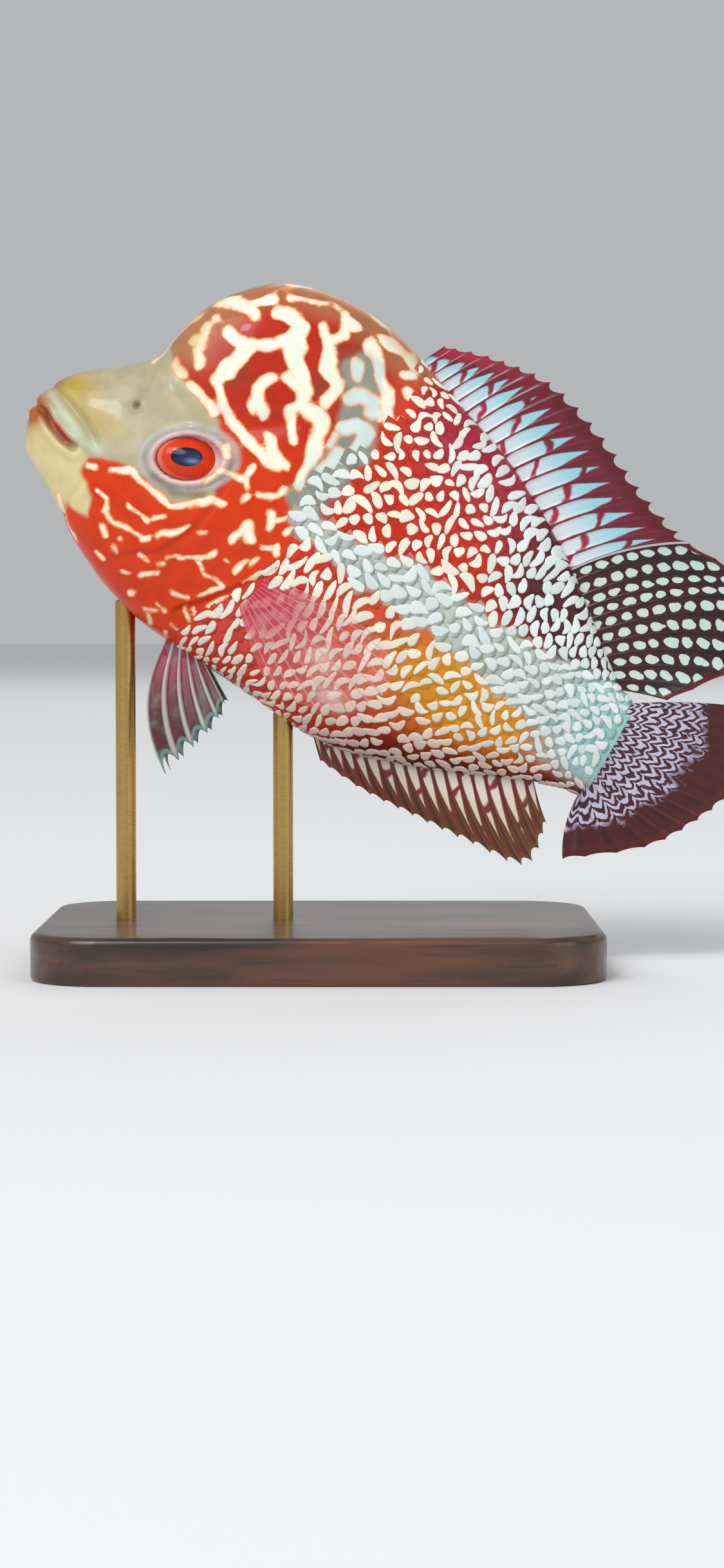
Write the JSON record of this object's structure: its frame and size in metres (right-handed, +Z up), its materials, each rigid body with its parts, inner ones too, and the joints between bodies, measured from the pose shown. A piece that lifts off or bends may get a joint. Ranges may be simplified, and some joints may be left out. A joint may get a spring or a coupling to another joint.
{
  "type": "flowerhorn cichlid model",
  "caption": "Life-size still model of a flowerhorn cichlid fish, head up with spread fins, on a flat base with upright rods.",
  "frame": {"origin": "middle of the underside of the whole model's box, on the surface it stands on", "axes": "+Z up; +X from the fish's mouth towards its tail, along the model's length; +Y from the fish's left side to its right side"},
  "size_m": [0.1034, 0.052, 0.0882],
  "materials": {
    "head_skin": "painted resin, wet gloss",
    "hump_skin": "painted resin, wet gloss",
    "face_skin": "painted resin, wet gloss",
    "flank_skin": "painted resin with raised scales, wet gloss",
    "stalk_skin": "painted resin with raised scales, wet gloss",
    "fin_dark": "tinted resin membrane, satin gloss",
    "fin_clear": "thin clear tinted resin, gloss",
    "eye": "polished, high gloss",
    "base": "dark stained and varnished",
    "rod": "brushed"
  },
  "bodies": {
    "root": {"head": "head_skin", "nuchal_hump": "hump_skin", "upper_jaw": "face_skin", "lower_jaw": "face_skin", "gill_cover_left": "head_skin", "gill_cover_right": "head_skin", "torso": "flank_skin", "tail_stalk": "stalk_skin", "dorsal_fin_spiny": "fin_dark", "dorsal_fin_soft": "fin_dark", "anal_fin": "fin_dark", "caudal_fin": "fin_dark", "pectoral_fin_left": "fin_clear", "pectoral_fin_right": "fin_clear", "pelvic_fin_left": "fin_dark", "pelvic_fin_right": "fin_dark", "eye_left": "eye", "eye_right": "eye", "stand_base": "base", "stand_rod_front": "rod", "stand_rod_rear": "rod"}
  },
  "joints": []
}
